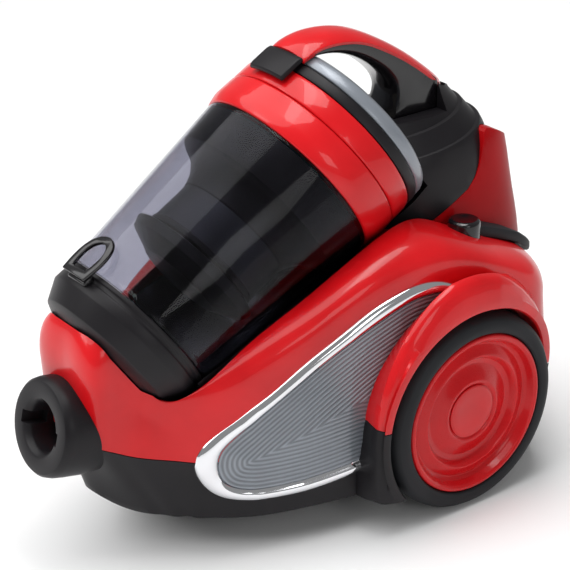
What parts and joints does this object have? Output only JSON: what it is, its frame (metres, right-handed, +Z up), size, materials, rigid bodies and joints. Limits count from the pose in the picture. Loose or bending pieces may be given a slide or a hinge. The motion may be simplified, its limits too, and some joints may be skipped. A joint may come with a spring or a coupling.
{
  "type": "canister vacuum cleaner",
  "caption": "Bagless canister vacuum cleaner: a clear cyclone dust cup leaning on a two-wheeled body, with a carrying handle.",
  "frame": {"origin": "on the floor, below the middle of the machine's bounding box", "axes": "+Z up, -Y towards the hose inlet, +X to the side, with the machine's middle plane at X = 0"},
  "size_m": [0.3, 0.5049, 0.397],
  "materials": {
    "red": "red high-gloss moulding",
    "black": "fine-textured black moulding",
    "gloss_black": "polished black moulding",
    "satin_grey": "satin grey lacquer",
    "chrome": "bright plated",
    "grille_grey": "semi-gloss grey, ribbed",
    "smoke": "clear smoked plastic",
    "rubber": "soft black rubber",
    "steel": "plain steel",
    "copper": "wound copper wire",
    "foam": "open black foam",
    "paper": "pleated filter paper",
    "reel": "dark grey moulding"
  },
  "bodies": {
    "body": {"chassis": "black", "body_shell": "red", "hose_collar": "black", "inlet_pipe": "black", "side_grille_left": "grille_grey", "side_grille_right": "grille_grey", "side_trim_left": "chrome", "side_trim_right": "chrome", "wheel_axle_left": "steel", "wheel_axle_right": "steel", "neck_housing": "black", "rear_panel": "red", "bumper_strip": "black", "exhaust_filter": "paper", "motor_can": "steel", "motor_stator": "steel", "fan_shroud": "black", "motor_mount_front": "rubber", "motor_mount_rear": "rubber", "motor_cradle": "black", "reel_spindle": "steel", "reel_bracket": "black", "cord_gland": "black", "power_switch": "black"},
    "wheel_left": {"wheel_tyre_left": "rubber", "wheel_hub_left": "red", "wheel_cap_left": "red"},
    "wheel_right": {"wheel_tyre_right": "rubber", "wheel_hub_right": "red", "wheel_cap_right": "red"},
    "caster": {"caster_fork": "black", "caster_axle": "steel"},
    "caster_roller": {"caster_wheel": "rubber"},
    "rotor": {"motor_armature": "copper", "motor_shaft": "steel", "impeller": "steel"},
    "reel": {"reel_spool": "reel"},
    "brake": {"brake_arm": "black"},
    "brake_roller": {"brake_roller": "rubber"},
    "power_button": {"power_button": "black"},
    "rewind_button": {"rewind_button": "black"},
    "exhaust_cover": {"exhaust_grille": "black"},
    "cup": {"dust_bin": "smoke", "bin_lid": "black", "lid_seal": "rubber", "lid_hinge_pin": "steel", "cyclone_skirt": "black", "cyclone_body": "black", "mesh_screen": "steel", "cone_cluster": "black", "bin_collar": "red", "separator_ring": "red", "foam_filter": "foam", "fine_filter": "paper", "cap_band": "black", "cap_dome": "satin_grey", "handle_grip": "gloss_black", "handle_cover": "red"},
    "lid_latch": {"lid_latch": "smoke"},
    "release_clip": {"release_clip": "black"}
  },
  "joints": [
    {"name": "wheel_left_spin", "type": "hinge", "parent": "body", "child": "wheel_left", "pos_m": [-0.13, 0.089, 0.089], "axis": [1, 0, 0], "continuous": true},
    {"name": "wheel_right_spin", "type": "hinge", "parent": "body", "child": "wheel_right", "pos_m": [0.13, 0.089, 0.089], "axis": [1, 0, 0], "continuous": true},
    {"name": "caster_swivel", "type": "hinge", "parent": "body", "child": "caster", "pos_m": [0, -0.128, 0.04], "axis": [0, 0, 1], "continuous": true},
    {"name": "caster_roll", "type": "hinge", "parent": "caster", "child": "caster_roller", "pos_m": [0, -0.118, 0.013], "axis": [1, 0, 0], "continuous": true},
    {"name": "motor_spin", "type": "hinge", "parent": "body", "child": "rotor", "pos_m": [0.042, 0.1, 0.105], "axis": [0, 1, 0], "continuous": true},
    {"name": "reel_spin", "type": "hinge", "parent": "body", "child": "reel", "pos_m": [-0.05, 0.112, 0.105], "axis": [1, 0, 0], "continuous": true},
    {"name": "brake_swing", "type": "hinge", "parent": "body", "child": "brake", "pos_m": [-0.06, 0.183, 0.128], "axis": [1, 0, 0], "range_deg": [-8, 0], "stiffness_Nm_per_rad": 0.3, "springref_deg": 5.73},
    {"name": "brake_roller_spin", "type": "hinge", "parent": "brake", "child": "brake_roller", "pos_m": [-0.05, 0.157, 0.15], "axis": [1, 0, 0], "continuous": true},
    {"name": "power_button_press", "type": "slide", "parent": "body", "child": "power_button", "axis": [0, 0, -1], "range_m": [0, 0.003], "stiffness_N_per_m": 400},
    {"name": "rewind_button_press", "type": "slide", "parent": "body", "child": "rewind_button", "axis": [0, 0, -1], "range_m": [0, 0.003], "stiffness_N_per_m": 400},
    {"name": "exhaust_cover_pull", "type": "slide", "parent": "body", "child": "exhaust_cover", "axis": [0, 1, 0], "range_m": [0, 0.04]},
    {"name": "cup_lift", "type": "slide", "parent": "body", "child": "cup", "axis": [0, -0.5664, 0.8241], "range_m": [0, 0.2]},
    {"name": "lid_latch_flex", "type": "hinge", "parent": "cup", "child": "lid_latch", "pos_m": [0, -0.20098, 0.2483], "axis": [1, 0, 0], "range_deg": [0, 15], "stiffness_Nm_per_rad": 0.05},
    {"name": "release_clip_press", "type": "slide", "parent": "cup", "child": "release_clip", "axis": [0, 0.5664, -0.8241], "range_m": [0, 0.0025], "stiffness_N_per_m": 500}
  ]
}
